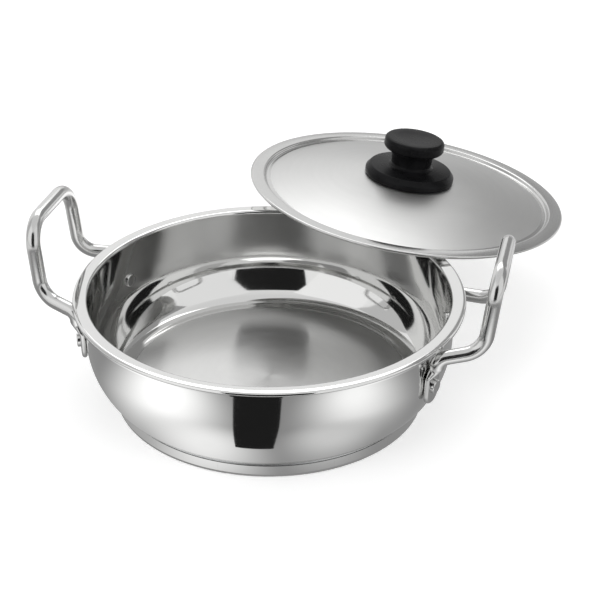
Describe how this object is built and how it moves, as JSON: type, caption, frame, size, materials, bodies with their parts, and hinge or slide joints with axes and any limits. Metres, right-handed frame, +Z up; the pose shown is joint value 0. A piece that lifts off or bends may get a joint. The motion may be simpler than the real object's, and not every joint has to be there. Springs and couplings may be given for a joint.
{
  "type": "kadai",
  "caption": "Round flat-based steel kadai with rolled-out rim, riveted upright rod handles, and a domed lid with a black knob lying tilted on the rear of the rim.",
  "frame": {"origin": "centre of the underside of the pan's base, on the surface that the pan stands on", "axes": "+Z up along the pan's axis, +X through the middle of the right handle, +Y towards the rear, where the lid lies"},
  "size_m": [0.285, 0.3595, 0.107],
  "materials": {
    "pan_steel": "mirror-polished stainless steel, satin-brushed floor",
    "core_aluminium": "plain, hidden inside the base",
    "base_steel": "polished side, circularly brushed underside",
    "rod_steel": "polished stainless steel rod",
    "rivet_steel": "polished stainless steel",
    "lid_steel": "satin-polished stainless steel",
    "knob_black": "black phenolic moulding, half gloss",
    "insert_brass": "plain, hidden inside the knob",
    "fixing_steel": "plain zinc-bright steel"
  },
  "bodies": {
    "pan": {"bowl": "pan_steel", "base_core": "core_aluminium", "base_cap": "base_steel", "handle_right": "rod_steel", "handle_left": "rod_steel", "rivet_right_front": "rivet_steel", "rivet_right_rear": "rivet_steel", "rivet_left_front": "rivet_steel", "rivet_left_rear": "rivet_steel"},
    "lid": {"lid_dish": "lid_steel", "knob": "knob_black", "knob_insert": "insert_brass", "knob_washer": "fixing_steel", "knob_screw": "fixing_steel"}
  },
  "joints": [
    {"name": "lid_lift", "type": "slide", "parent": "pan", "child": "lid", "axis": [0, 0, 1], "range_m": [0, 0.15]}
  ]
}
